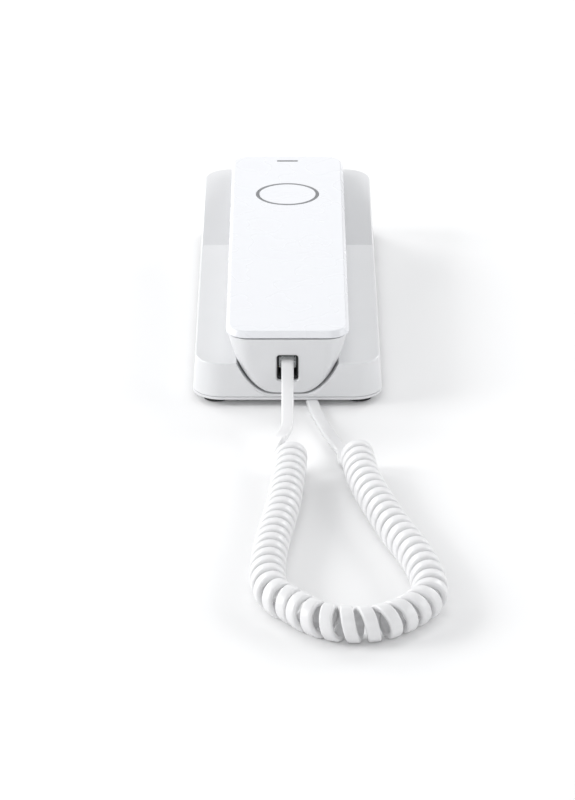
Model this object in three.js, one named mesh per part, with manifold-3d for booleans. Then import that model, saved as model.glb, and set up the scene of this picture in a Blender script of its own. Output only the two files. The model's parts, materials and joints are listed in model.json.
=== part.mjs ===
// A slimline corded telephone: a long flat handset that lies in a wedge-shaped base, and its curly cord.
// Millimetres, +Z up. The feet stand on z = 0, and the cord leaves from the -Y end.
import * as THREE from "three";
import { mergeVertices } from "three/addons/utils/BufferGeometryUtils.js";
import Module from "manifold-3d";

const wasm = await Module();
wasm.setup();

// Driving dimensions ---------------------------------------------------------------------------
const WALL = 2; // moulded wall of both casings
const GAP = 0.3; // air between pieces that only touch

const BASE = {
  width: 78.2, // across the foot of the side walls
  length: 214,
  cornerRadius: 12.3,
  bottom: 4.1, // parting line with the bottom plate
  deckTop: 18.3, // flat deck of the near part
  rearTop: 30, // top of the raised far part
  creaseY: 36.2, // where the deck turns into the ramp
  draft: 1 / 14.2, // inward lean of the walls per millimetre of height
};
const PLATE = { bottom: 2.6, top: 3.9 };
const FOOT = { radius: 5.5, x: 29.4, y: 97.5 };
const BASE_SCREW = { x: 31, y: 84 };

const HANDSET = {
  lidWidth: 50.6,
  length: 213,
  cornerRadius: 9,
  bottomCornerRadius: 2, // plan corners of the lower shell at its flat underside
  bottom: 5.6, // underside of the mouthpiece block
  gripBottom: 15, // underside of the thin middle, where the keys are
  earBottom: 8.6, // underside of the earpiece block
  seam: 29.4, // joint between lid and lower shell
  lidTop: 32.6,
  hullInset: 0.6, // the lower shell's ends stand back from the lid's
  chamferWidth: 1.2,
  chamferHeight: 2.8,
  tilt: THREE.MathUtils.degToRad(0.97), // the far end lies a little higher
};
const NEAR_END = -HANDSET.length / 2;
const CRADLE_CLEARANCE = 0.5;
const KEY_ROOM = 0.4; // extra depth of the cradle under the raised grip, for the keys

const RING = { y: 55.6, outer: 13.95, inner: 12.65, depth: 0.85 };
const LAMP = { y: 99, width: 9.6, height: 1.5 };
const SOCKET = { width: 9, low: 11, high: 22.2 }; // opening in the handset's near end
const CORD = { width: 5, thickness: 2.5, coilRadius: 6.7, exitHeight: 19 };

const KEY = { columnPitch: 11.5, rowPitch: 11, width: 8.6, length: 6.4, proud: 0.6 };
const FUNCTION_KEY = { width: 13, length: 5.4, x: 8.6 };

const MATERIALS = {
  lid: material(0xf4f6fa, 0.22),
  casing: material(0xeff0f1, 0.35),
  key: material(0xe9eaec, 0.45),
  ring: material(0x8d9096, 0.4),
  lamp: material(0x6f7378, 0.3),
  cord: material(0xf2f2f2, 0.45),
  clear: material(0xdfe6e8, 0.1),
  rubber: material(0x3a3a3c, 0.9),
  silicone: material(0xb9bcc0, 0.8),
  darkPlastic: material(0x2c2d30, 0.6),
  board: material(0x1f5a37, 0.6),
  steel: material(0xa8abb0, 0.35, 1),
};

function material(color, roughness, metalness = 0) {
  return new THREE.MeshStandardMaterial({ color, roughness, metalness });
}

// Solids: a closed three.js geometry becomes a manifold, which can be joined, cut and intersected --
function solid(geometry) {
  const bare = geometry.clone();
  bare.deleteAttribute("normal");
  bare.deleteAttribute("uv");
  const merged = mergeVertices(bare, 1e-4);
  const vertProperties = new Float32Array(merged.attributes.position.array);
  const triVerts = new Uint32Array(merged.index.array);
  return new wasm.Manifold(new wasm.Mesh({ numProp: 3, vertProperties, triVerts }));
}

function geometryOf(body) {
  const mesh = body.getMesh();
  const geometry = new THREE.BufferGeometry();
  geometry.setAttribute("position", new THREE.BufferAttribute(mesh.vertProperties, 3));
  geometry.setIndex(new THREE.BufferAttribute(mesh.triVerts, 1));
  geometry.computeVertexNormals();
  return geometry;
}

function posed(body, matrix) {
  return solid(geometryOf(body).applyMatrix4(matrix));
}

function piece(name, body, materialOfPiece) {
  const mesh = new THREE.Mesh(geometryOf(body), materialOfPiece);
  mesh.name = name;
  return mesh;
}

function box(x0, x1, y0, y1, z0, z1) {
  const geometry = new THREE.BoxGeometry(x1 - x0, y1 - y0, z1 - z0);
  return solid(geometry.translate((x0 + x1) / 2, (y0 + y1) / 2, (z0 + z1) / 2));
}

function disc(x, y, radius, z0, z1, segments = 16) {
  const geometry = new THREE.CylinderGeometry(radius, radius, z1 - z0, segments);
  return solid(geometry.rotateX(Math.PI / 2).translate(x, y, (z0 + z1) / 2));
}

function washer(x, y, inner, outer, z0, z1, segments = 16) {
  const corners = [[inner, z0], [outer, z0], [outer, z1], [inner, z1], [inner, z0]];
  const profile = corners.map(([r, z]) => new THREE.Vector2(r, z));
  const geometry = new THREE.LatheGeometry(profile, segments);
  return solid(geometry.rotateX(Math.PI / 2).translate(x, y, 0));
}

// Outlines and prisms --------------------------------------------------------------------------
function roundedRectangle(width, length, radius) {
  const x = width / 2 - radius;
  const y = length / 2 - radius;
  const shape = new THREE.Shape();
  shape.moveTo(x, -y - radius);
  shape.absarc(x, -y, radius, -Math.PI / 2, 0);
  shape.absarc(x, y, radius, 0, Math.PI / 2);
  shape.absarc(-x, y, radius, Math.PI / 2, Math.PI);
  shape.absarc(-x, -y, radius, Math.PI, Math.PI * 1.5);
  return shape;
}

function extrude(shape, depth, curveSegments = 4, steps = 1) {
  return new THREE.ExtrudeGeometry(shape, { depth, curveSegments, steps, bevelEnabled: false });
}

// A plan outline pulled up from z0 to z1.
function slab(shape, z0, z1, curveSegments) {
  return solid(extrude(shape, z1 - z0, curveSegments).translate(0, 0, z0));
}

// A side profile, drawn as (y, z), pulled along X.
function alongX(shape, x0, x1, curveSegments) {
  const axes = new THREE.Matrix4().makeBasis(
    new THREE.Vector3(0, 1, 0),
    new THREE.Vector3(0, 0, 1),
    new THREE.Vector3(1, 0, 0),
  );
  return solid(extrude(shape, x1 - x0, curveSegments).applyMatrix4(axes).translate(x0, 0, 0));
}

// A rounded block whose walls lean in as they rise.
function draftedSlab(width, length, radius, z0, z1, lean) {
  const geometry = extrude(roundedRectangle(width, length, radius), z1 - z0);
  const position = geometry.attributes.position;
  for (let i = 0; i < position.count; i++) {
    const inset = lean * position.getZ(i);
    position.setX(i, position.getX(i) * (1 - (2 * inset) / width));
    position.setY(i, position.getY(i) * (1 - (2 * inset) / length));
  }
  return solid(geometry.translate(0, 0, z0));
}

// Handset envelope -----------------------------------------------------------------------------
// The lower shell's half cross-section is one curve from the flat underside up to the seam.
// grow moves it outwards: positive for the cradle that it lies in, negative for its own hollow.
function crossSection(grow) {
  return new THREE.CubicBezierCurve(
    new THREE.Vector2(6, HANDSET.bottom - grow),
    new THREE.Vector2(14.5 + 0.7 * grow, HANDSET.bottom - grow),
    new THREE.Vector2(21.5 + grow, 17 - 0.3 * grow),
    new THREE.Vector2(24.4 + grow, HANDSET.seam - 0.2),
  );
}

// Two blocks with the thin grip between them, seen from the side.
function undersideProfile(grow, top) {
  const far = -NEAR_END + 10;
  const shape = new THREE.Shape();
  shape.moveTo(-far, HANDSET.bottom - grow);
  shape.lineTo(-68 + grow, HANDSET.bottom - grow);
  shape.bezierCurveTo(
    -60 + grow, HANDSET.bottom - grow,
    -60 + grow, HANDSET.gripBottom - grow,
    -52 + grow, HANDSET.gripBottom - grow,
  );
  shape.lineTo(38 - grow, HANDSET.gripBottom - grow);
  shape.bezierCurveTo(
    45 - grow, HANDSET.gripBottom - grow,
    45 - grow, HANDSET.earBottom - grow,
    52 - grow, HANDSET.earBottom - grow,
  );
  shape.lineTo(far, HANDSET.earBottom - grow);
  shape.lineTo(far, top);
  shape.lineTo(-far, top);
  shape.closePath();
  return shape;
}

// The handset's lower body: its plan corners are tight at the bottom and open out towards the seam.
function hull(grow) {
  const levels = 8;
  const curve = crossSection(grow);
  const halfWidth = curve.v3.x;
  const halfLength = HANDSET.length / 2 - HANDSET.hullInset + grow;
  const seamRadius = HANDSET.cornerRadius + grow;
  const bottomRadius = HANDSET.bottomCornerRadius + Math.max(grow, -1);
  const outline = roundedRectangle(2 * halfWidth, 2 * halfLength, seamRadius);
  const geometry = extrude(outline, 1, 3, levels);
  const position = geometry.attributes.position;
  for (let i = 0; i < position.count; i++) {
    const level = curve.getPoint(position.getZ(i));
    const rise = (level.y - curve.v0.y) / (curve.v3.y - curve.v0.y);
    const radius = bottomRadius + (seamRadius - bottomRadius) * rise;
    const x = position.getX(i);
    const y = position.getY(i);
    position.setX(i, recorner(x, halfWidth, seamRadius, level.x, radius));
    position.setY(i, recorner(y, halfLength, seamRadius, halfLength, radius));
    position.setZ(i, level.y);
  }
  return solid(geometry).intersect(alongX(undersideProfile(grow, HANDSET.seam), -40, 40, 6));
}

// Moves one coordinate of a rounded outline to an outline of another half size and corner radius.
function recorner(value, half, radius, newHalf, newRadius) {
  const straight = half - radius;
  const newStraight = newHalf - newRadius;
  const size = Math.abs(value);
  const moved = size > straight
    ? newStraight + ((size - straight) * newRadius) / radius
    : (size * newStraight) / straight;
  return Math.sign(value) * moved;
}

// The space the handset needs in the base, open upwards and at both ends.
function cradleSpace(grow) {
  const openTop = 60;
  const section = new THREE.Shape();
  const half = crossSection(grow).getPoints(10);
  section.moveTo(-half[0].x, half[0].y);
  half.forEach((point) => section.lineTo(point.x, point.y));
  section.lineTo(half.at(-1).x, openTop);
  section.lineTo(-half.at(-1).x, openTop);
  half.reverse().forEach((point) => section.lineTo(-point.x, point.y));
  const reach = BASE.length / 2 + 3;
  const prism = extrude(section, 2 * reach).rotateX(Math.PI / 2).translate(0, reach, 0);
  const underside = alongX(undersideProfile(grow + KEY_ROOM, openTop), -40, 40, 6);
  const shaped = solid(prism).intersect(underside);
  return posed(shaped, handsetPose());
}

// The handset lies with its far end slightly raised, turned about its near lower edge.
function handsetPose() {
  const pivot = new THREE.Vector3(0, NEAR_END, HANDSET.bottom);
  return new THREE.Matrix4()
    .makeTranslation(pivot)
    .multiply(new THREE.Matrix4().makeRotationX(HANDSET.tilt))
    .multiply(new THREE.Matrix4().makeTranslation(pivot.clone().negate()));
}

// Base casing ----------------------------------------------------------------------------------
function baseProfile(drop) {
  const reach = BASE.length / 2 + 3;
  const far = BASE.length / 2;
  const shape = new THREE.Shape();
  shape.moveTo(-reach, 0);
  shape.lineTo(reach, 0);
  shape.lineTo(reach, BASE.rearTop - drop);
  shape.lineTo(far, BASE.rearTop - drop);
  shape.quadraticCurveTo(
    (BASE.creaseY + far) / 2, BASE.rearTop - drop,
    BASE.creaseY, BASE.deckTop - drop,
  );
  shape.lineTo(-reach, BASE.deckTop - drop);
  shape.closePath();
  return shape;
}

function baseBlock(inset) {
  const block = draftedSlab(
    BASE.width - 2 * inset,
    BASE.length - 2 * inset,
    BASE.cornerRadius - inset,
    BASE.bottom,
    BASE.rearTop + 2,
    BASE.draft,
  );
  return block.intersect(alongX(baseProfile(inset), -50, 50, 10));
}

const HOOK = { y: 60, stem: 2.6, travel: 2.5 };
const TAB = { y: 30, width: 7, length: 4 };

function baseTopShell() {
  const underside = box(-50, 50, -120, 120, 0, BASE.bottom);
  const hollow = baseBlock(WALL).subtract(cradleSpace(CRADLE_CLEARANCE + WALL)).add(underside);
  let shell = baseBlock(0).subtract(cradleSpace(CRADLE_CLEARANCE)).subtract(hollow);
  for (const [x, y] of corners(BASE_SCREW.x, BASE_SCREW.y)) {
    shell = shell.add(disc(x, y, 3.2, BASE.bottom, BASE.rearTop, 12).intersect(baseBlock(1)));
    shell = shell.subtract(disc(x, y, 1.4, 0, 13, 10));
  }
  shell = shell.subtract(disc(0, HOOK.y, HOOK.stem + GAP, 0, 40, 16));
  const tabSlot = { x: TAB.width / 2 + GAP, y: TAB.length / 2 + GAP };
  return shell.subtract(box(-tabSlot.x, tabSlot.x, TAB.y - tabSlot.y, TAB.y + tabSlot.y, 13, 20));
}

function corners(x, y) {
  return [[-x, -y], [x, -y], [-x, y], [x, y]];
}

// Pockets in the bottom plate let a plug lie flat behind its socket.
const CORD_POCKET = { x0: 2.4, x1: 13.6, y0: -53.5, y1: -24 };
const LINE_POCKET = { x0: -17.2, x1: -5.8, y0: 10, y1: 33 };
const POCKET_TOP = 9.7;
const POCKET_SKIN = 0.8;
const JACK = { depth: 13, bottom: 4.1, top: 10.6 };

// The wall of a pocket stands inside the casing; its side towards the socket is left open.
function withPocket(plate, pocket, openSide) {
  const skin = POCKET_SKIN;
  const nearSkin = openSide === "near" ? 0 : skin;
  const farSkin = openSide === "far" ? 0 : skin;
  const x = [pocket.x0 - skin, pocket.x1 + skin];
  const y = [pocket.y0 - nearSkin, pocket.y1 + farSkin];
  const walls = box(x[0], x[1], y[0], y[1], PLATE.bottom + 0.5, POCKET_TOP + skin);
  const room = box(
    pocket.x0, pocket.x1,
    pocket.y0 - (nearSkin ? 0 : 1), pocket.y1 + (farSkin ? 0 : 1),
    PLATE.top, POCKET_TOP,
  );
  const mouth = box(pocket.x0, pocket.x1, pocket.y0, pocket.y1, 0, POCKET_TOP);
  return plate.add(walls).subtract(room).subtract(mouth);
}

const KEYHOLES = { x: -25.5, y: [-70, 62], headRadius: 4.2, slotHalf: 2.1, slotLength: 9 };
const SLIDER = { x: -29.5, y: -45, travel: 2.5 };

function baseBottomPlate() {
  let plate = slab(roundedRectangle(BASE.width, BASE.length, BASE.cornerRadius), PLATE.bottom, PLATE.top);
  plate = withPocket(plate, CORD_POCKET, "far");
  plate = withPocket(plate, LINE_POCKET, "near");
  const { x: holeX, headRadius, slotHalf, slotLength } = KEYHOLES;
  for (const y of KEYHOLES.y) {
    plate = plate.subtract(disc(holeX, y, headRadius, 0, 6, 14));
    plate = plate.subtract(box(holeX - slotHalf, holeX + slotHalf, y, y + slotLength, 0, 6));
  }
  for (const [x, y] of corners(BASE_SCREW.x, BASE_SCREW.y)) {
    plate = plate.subtract(disc(x, y, 1.4, 0, 6, 10));
  }
  const slot = { x: 1.8, y: 2 + SLIDER.travel + GAP };
  return plate.subtract(
    box(SLIDER.x - slot.x, SLIDER.x + slot.x, SLIDER.y - slot.y, SLIDER.y + slot.y, 0, 6),
  );
}

// A pan-head screw standing on its head.
function screw(x, y, headBottom, headRadius, shankTop) {
  const head = disc(x, y, headRadius, headBottom, headBottom + 1.1, 12);
  const shank = disc(x, y, 1.1, headBottom + 1, shankTop, 8);
  const cross = box(x - 1.4, x + 1.4, y - 0.3, y + 0.3, headBottom - 1, headBottom + 0.5);
  const bar = box(x - 0.3, x + 0.3, y - 1.4, y + 1.4, headBottom - 1, headBottom + 0.5);
  return head.add(shank).subtract(cross).subtract(bar);
}

// A modular socket: a block with a mouth at one end of its length.
function jack(x, y0, y1, z0, z1, mouth) {
  const block = box(x - mouth.width / 2 - 1.2, x + mouth.width / 2 + 1.2, y0, y1, z0, z1);
  const inside = mouth.opensFar ? [y0 + 2, y1 + 1] : [y0 - 1, y1 - 2];
  return block.subtract(
    box(x - mouth.width / 2, x + mouth.width / 2, inside[0], inside[1], mouth.low, mouth.high),
  );
}

function base() {
  const group = new THREE.Group();
  const { casing, rubber, steel, board, darkPlastic } = MATERIALS;
  group.add(piece("base_top_shell", baseTopShell(), casing));
  group.add(piece("base_bottom_plate", baseBottomPlate(), casing));
  corners(FOOT.x, FOOT.y).forEach(([x, y], i) => {
    group.add(piece("rubber_foot_" + (i + 1), disc(x, y, FOOT.radius, 0, 2.5, 20), rubber));
  });
  corners(BASE_SCREW.x, BASE_SCREW.y).forEach(([x, y], i) => {
    group.add(piece("base_screw_" + (i + 1), screw(x, y, 1.4, 2.4, 12), steel));
  });
  group.add(piece("main_board", box(-19, 19, -40, 34, 10.8, 12.2), board));
  group.add(piece("line_jack", lineJack(), darkPlastic));
  group.add(piece("cord_jack", cordJack(), darkPlastic));
  group.add(piece("hook_plunger", hookPlunger(), casing));
  group.add(piece("hook_switch", box(-4, 4, HOOK.y + 5, HOOK.y + 13, BASE.bottom, 8), darkPlastic));
  group.add(piece("hook_spring", washer(0, HOOK.y, 1.5, 2.4, 4, 4.7, 12), steel));
  group.add(piece("ringer_buzzer", disc(-29.5, 20, 5.5, BASE.bottom, 11, 16), darkPlastic));
  group.add(piece("ringer_slider", ringerSlider(), darkPlastic));
  group.add(piece("ballast_left", box(-34, -25.5, -35, 8, BASE.bottom, 13), steel));
  group.add(piece("ballast_right", box(25.5, 34, -66, 8, BASE.bottom, 13), steel));
  group.add(piece("retainer_tab", retainerTab(), casing));
  return group;
}

function lineJack() {
  const x = (LINE_POCKET.x0 + LINE_POCKET.x1) / 2;
  const y = LINE_POCKET.y0 - GAP;
  const mouth = { width: 9.8, low: JACK.bottom + 0.7, high: JACK.top - 0.8, opensFar: true };
  return jack(x, y - JACK.depth, y, JACK.bottom, JACK.top, mouth);
}

function cordJack() {
  const x = (CORD_POCKET.x0 + CORD_POCKET.x1) / 2;
  const y = CORD_POCKET.y1 + GAP;
  const mouth = { width: 7.8, low: JACK.bottom + 0.4, high: JACK.top - 0.6, opensFar: false };
  return jack(x, y, y + JACK.depth, JACK.bottom, JACK.top, mouth);
}

// Its rounded top stays just under the handset, and its flange stops it inside the casing.
function hookPlunger() {
  const rim = 10.6;
  const flange = [[0, 4.9], [4, 4.9], [4, 5.6], [HOOK.stem, 5.6]];
  const profile = [...flange, [HOOK.stem, rim], [1.6, 11.05], [0, 11.1]];
  const lathe = new THREE.LatheGeometry(profile.map(([r, z]) => new THREE.Vector2(r, z)), 16);
  return solid(lathe.rotateX(Math.PI / 2).translate(0, HOOK.y, 0));
}

function ringerSlider() {
  const { x, y } = SLIDER;
  return box(x - 3.5, x + 3.5, y - 4.5, y + 4.5, PLATE.top + GAP, 5.4)
    .add(box(x - 1.5, x + 1.5, y - 2, y + 2, 1.3, 4.5));
}

// The tab that holds the handset on a wall stands in a slot of the cradle.
function retainerTab() {
  return box(-TAB.width / 2, TAB.width / 2, TAB.y - TAB.length / 2, TAB.y + TAB.length / 2, 12.6, 16.9)
    .add(box(-5, 5, TAB.y - 3, TAB.y + 3, 12.4, 13.2));
}

// Handset --------------------------------------------------------------------------------------
function keyLayout() {
  const keys = [];
  const labels = ["1", "2", "3", "4", "5", "6", "7", "8", "9", "star", "0", "hash"];
  labels.forEach((label, i) => {
    const column = i % 3;
    const row = Math.floor(i / 3);
    // The keypad faces down, so its left column is on the +X side.
    const x = (1 - column) * KEY.columnPitch;
    const y = 13 - row * KEY.rowPitch;
    keys.push({ name: "key_" + label, x, y, width: KEY.width, length: KEY.length });
  });
  const functions = [["redial", 1, 25], ["flash", -1, 25], ["memory", 1, -31.5], ["mute", -1, -31.5]];
  for (const [label, side, y] of functions) {
    const { width, length } = FUNCTION_KEY;
    keys.push({ name: "key_" + label, x: side * FUNCTION_KEY.x, y, width, length });
  }
  return keys;
}

function keyBlock(key, grow, z0, z1) {
  const outline = roundedRectangle(key.width + 2 * grow, key.length + 2 * grow, 1.6 + grow);
  return solid(extrude(outline, z1 - z0, 1).translate(key.x, key.y, z0));
}

function keyCap(key) {
  const flange = HANDSET.gripBottom + WALL + 0.2;
  const cap = keyBlock(key, 0, HANDSET.gripBottom - KEY.proud, flange + 0.9);
  return cap.add(keyBlock(key, 0.9, flange, flange + 0.9));
}

const HANDSET_SCREWS = [-72, 94.5];
const SPEAKER = { y: 80, radius: 10.2 };
const MICROPHONE = { y: -82, radius: 4.7 };

function handsetLowerShell() {
  let shell = hull(0).subtract(hull(-WALL).add(box(-22, 22, -100, 100, 28, 30)));
  const floor = { near: HANDSET.bottom, far: HANDSET.earBottom };
  HANDSET_SCREWS.forEach((y) => {
    const z = y < 0 ? floor.near : floor.far;
    shell = shell.add(disc(0, y, 4, z + 0.5, z + 4, 12));
    shell = shell.subtract(disc(0, y, 2.6, 0, z + 1.7, 12)).subtract(disc(0, y, 1.4, 0, 20, 8));
  });
  for (const key of keyLayout()) {
    shell = shell.subtract(keyBlock(key, 0.3, HANDSET.gripBottom - 1, HANDSET.gripBottom + WALL + 1));
  }
  for (const [x, y] of soundHoles()) shell = shell.subtract(disc(x, SPEAKER.y + y, 0.9, 0, 14, 6));
  shell = shell.subtract(disc(0, MICROPHONE.y, 0.9, 0, 10, 6));
  return shell.subtract(socketOpening());
}

function soundHoles() {
  const holes = [[0, 0]];
  for (let i = 0; i < 6; i++) {
    const angle = (i * Math.PI) / 3;
    holes.push([4.5 * Math.cos(angle), 4.5 * Math.sin(angle)]);
  }
  return holes;
}

function socketOpening() {
  const outline = roundedRectangle(SOCKET.width, SOCKET.high - SOCKET.low, 1.6);
  const tube = extrude(outline, 10, 3).rotateX(Math.PI / 2);
  return solid(tube.translate(0, NEAR_END + 5, (SOCKET.low + SOCKET.high) / 2));
}

function handsetLid() {
  const { lidWidth, length, cornerRadius, seam, lidTop, chamferWidth, chamferHeight } = HANDSET;
  const shoulder = lidTop - chamferHeight;
  const lean = chamferWidth / chamferHeight;
  const underside = seam + 0.2;
  let lid = slab(roundedRectangle(lidWidth, length, cornerRadius), underside, shoulder);
  lid = lid.add(draftedSlab(lidWidth, length, cornerRadius, shoulder, lidTop, lean));
  lid = lid.subtract(slab(roundedRectangle(lidWidth - 5, length - 5, 7), 28, lidTop - WALL));
  for (const y of HANDSET_SCREWS) {
    lid = lid.add(disc(0, y, 2.8, 14, lidTop - WALL / 2, 12)).subtract(disc(0, y, 1.4, 0, 24, 8));
  }
  const slack = 0.15;
  const grooveFloor = lidTop - RING.depth - slack;
  lid = lid.subtract(washer(0, RING.y, RING.inner - slack, RING.outer + slack, grooveFloor, 40, 48));
  for (const x of [-1, 1]) lid = lid.subtract(disc(x * 13.3, RING.y, 1.3, 20, lidTop - 0.5, 8));
  const lampSlot = roundedRectangle(LAMP.width + 0.4, LAMP.height + 0.4, 0.9);
  return lid.subtract(solid(extrude(lampSlot, 10, 3).translate(0, LAMP.y, 28)));
}

// A flush grey ring with two stems that carry light up from the board.
function lightRing() {
  const top = HANDSET.lidTop;
  let ring = washer(0, RING.y, RING.inner, RING.outer, top - RING.depth, top, 48);
  for (const x of [-1, 1]) ring = ring.add(disc(x * 13.3, RING.y, 0.6, 22.2, top - 0.4, 8));
  return ring;
}

function callLampWindow() {
  const outline = roundedRectangle(LAMP.width, LAMP.height, 0.7);
  return solid(extrude(outline, 2.6, 3).translate(0, LAMP.y, HANDSET.lidTop - 2.6));
}

// A clear four-way plug, its latch below, and the first bit of cord up to the handset's end face.
function plug(x, mouthY, towards, z, stub) {
  const y = (along) => mouthY - towards * along;
  const span = (a, b) => [Math.min(y(a), y(b)), Math.max(y(a), y(b))];
  const body = box(x - 3.6, x + 3.6, ...span(-10, 1), z - 1.9, z + 1.9);
  const latch = box(x - 1.4, x + 1.4, ...span(-8, 1), z - 2.8, z - 1.8);
  const lead = box(x - CORD.width / 2, x + CORD.width / 2, ...span(0.5, stub), z - 1.2, z + 1.2);
  return body.add(latch).add(lead);
}

function handset() {
  const group = new THREE.Group();
  group.applyMatrix4(handsetPose());
  const { lid, casing, ring, lamp, key, steel, board, darkPlastic, silicone, clear } = MATERIALS;
  group.add(piece("handset_lid", handsetLid(), lid));
  group.add(piece("handset_lower_shell", handsetLowerShell(), casing));
  group.add(piece("light_ring", lightRing(), ring));
  group.add(piece("call_lamp_window", callLampWindow(), lamp));
  HANDSET_SCREWS.forEach((y, i) => {
    const floor = y < 0 ? HANDSET.bottom : HANDSET.earBottom;
    group.add(piece("handset_screw_" + (i + 1), screw(0, y, floor + 0.4, 2.3, 22), steel));
  });
  group.add(piece("handset_board", box(-15, 15, -46, 66, 20.6, 21.8), board));
  group.add(piece("keypad_mat", box(-17, 17, -40, 33, 19.3, 20.3), silicone));
  for (const layout of keyLayout()) group.add(piece(layout.name, keyCap(layout), key));
  const earFloor = HANDSET.earBottom + WALL + GAP;
  const mouthFloor = HANDSET.bottom + WALL + GAP;
  const speaker = disc(0, SPEAKER.y, SPEAKER.radius, earFloor + 0.6, 16.5, 20);
  group.add(piece("earpiece_speaker", speaker, darkPlastic));
  const microphone = disc(0, MICROPHONE.y, MICROPHONE.radius, mouthFloor, 12.5, 16);
  group.add(piece("microphone", microphone, darkPlastic));
  const mouth = { width: 7.8, low: SOCKET.low + 1, high: SOCKET.high - 0.4, opensFar: false };
  const jackFront = NEAR_END + 3;
  const handsetJack = jack(0, jackFront, jackFront + 15, SOCKET.low - 1, SOCKET.high + 1, mouth);
  group.add(piece("handset_jack", handsetJack, darkPlastic));
  const stub = jackFront - NEAR_END - 0.4;
  group.add(piece("handset_plug", plug(0, jackFront, 1, CORD.exitHeight, stub), clear));
  return group;
}

// Cord -----------------------------------------------------------------------------------------
// The flat lead from the handset bows down to the curl.
const HANDSET_LEAD = [
  [0, -107.5, 18.9], [0, -114, 18.6], [0, -122, 17.3], [0, -131, 15.4], [-0.1, -140, 13.8],
  [-0.6, -149, 12.6], [-1.6, -157, 11.9], [-3, -163.5, 11.2], [-3.9, -168.4, 10.8],
];
// The middle line of the curl, a long loop on the table.
const COIL_ROUTE = [
  [1, -169], [1, -182], [-1.5, -221], [-5.8, -258], [-7.4, -285], [-5.7, -301], [-2, -309],
  [2.4, -314], [7.4, -321], [13, -326], [20.3, -329], [28.2, -329], [36.2, -326], [46, -316],
  [52, -302.5], [49.2, -276], [39.3, -240], [30.5, -201.5], [27, -169],
];
// The lead back under the base and up to its plug.
const BASE_LEAD = [
  [25.6, -168.4, 1.3], [23.8, -163, 1.3], [21.7, -157, 1.3], [18.6, -146, 1.3], [15.6, -134, 1.3],
  [13, -122, 1.3], [10.8, -110, 1.3], [9.2, -98, 1.3], [8.3, -84, 1.3], [8, -70, 1.3],
  [8, -61, 1.3], [8, -55, 1.3], [8, -51.5, 1.4], [8, -48, 2.3], [8, -44.5, 3.8],
  [8, -41, 5.6], [8, -38, 6.9], [8, -34.2, 7.5],
];
const BASE_PLUG_HEIGHT = 7.5;

function route(points, height) {
  return new THREE.CatmullRomCurve3(points.map(([x, y, z]) => new THREE.Vector3(x, y, z ?? height)));
}

// A flat lead lies wide across its run. The extrusion starts with the section's first axis along X
// on a run that sets off along Y and down, and along Z on one that sets off level and askew.
function flatLead(points, steps, firstHalf, secondHalf) {
  const section = new THREE.Shape();
  const outline = [
    [1, 0.6], [0.8, 1], [-0.8, 1], [-1, 0.6],
    [-1, -0.6], [-0.8, -1], [0.8, -1], [1, -0.6],
  ].map(([a, b]) => [a * firstHalf, b * secondHalf]);
  outline.forEach(([a, b], i) => (i ? section.lineTo(a, b) : section.moveTo(a, b)));
  section.closePath();
  return solid(new THREE.ExtrudeGeometry(section, { steps, extrudePath: route(points) }));
}

function coilBody() {
  const circle = new THREE.Shape().absarc(0, 0, CORD.coilRadius, 0, 2 * Math.PI);
  const extrudePath = route(COIL_ROUTE, CORD.coilRadius + 0.05);
  return solid(new THREE.ExtrudeGeometry(circle, { steps: 30, curveSegments: 6, extrudePath }));
}

function cord() {
  const group = new THREE.Group();
  const { cord: white, clear } = MATERIALS;
  const halfWidth = CORD.width / 2;
  const halfThickness = CORD.thickness / 2;
  group.add(piece("cord_handset_lead", flatLead(HANDSET_LEAD, 9, halfWidth, halfThickness), white));
  group.add(piece("cord_coil", coilBody(), white));
  group.add(piece("cord_base_lead", flatLead(BASE_LEAD, 22, halfThickness, halfWidth), white));
  const mouthY = CORD_POCKET.y1 + GAP;
  group.add(piece("base_plug", plug(8, mouthY, 1, BASE_PLUG_HEIGHT, 10), clear));
  return group;
}

const telephone = new THREE.Group();
telephone.add(base(), handset(), cord());

export default telephone;
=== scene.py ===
import json
import math

import bmesh
import bpy
import numpy as np
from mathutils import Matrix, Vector


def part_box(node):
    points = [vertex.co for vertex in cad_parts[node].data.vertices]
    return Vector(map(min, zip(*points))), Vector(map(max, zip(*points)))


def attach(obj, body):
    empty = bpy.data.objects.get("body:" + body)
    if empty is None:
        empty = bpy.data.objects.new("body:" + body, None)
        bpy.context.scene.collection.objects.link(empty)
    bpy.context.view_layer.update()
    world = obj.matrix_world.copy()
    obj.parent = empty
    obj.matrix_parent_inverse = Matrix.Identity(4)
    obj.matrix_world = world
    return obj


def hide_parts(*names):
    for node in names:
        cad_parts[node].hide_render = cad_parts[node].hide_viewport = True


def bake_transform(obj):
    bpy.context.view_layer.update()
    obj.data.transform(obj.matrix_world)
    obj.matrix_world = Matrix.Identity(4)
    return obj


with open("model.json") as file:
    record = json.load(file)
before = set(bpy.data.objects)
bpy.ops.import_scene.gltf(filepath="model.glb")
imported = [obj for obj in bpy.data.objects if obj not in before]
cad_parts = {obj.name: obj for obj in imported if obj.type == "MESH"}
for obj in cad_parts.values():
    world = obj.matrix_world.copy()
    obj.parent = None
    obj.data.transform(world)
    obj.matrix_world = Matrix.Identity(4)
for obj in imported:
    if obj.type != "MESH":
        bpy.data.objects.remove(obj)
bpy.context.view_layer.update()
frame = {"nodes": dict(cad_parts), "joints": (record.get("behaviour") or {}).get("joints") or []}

# A slimline corded telephone on a pale table. Lengths below are in millimetres, and MM turns them
# into the frame's metres when a mesh is made.
MM = 0.001


def node_box(node):
    """A CAD node's lowest and highest corner, in millimetres."""
    low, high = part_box(node)
    return np.array(low) / MM, np.array(high) / MM


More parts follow.
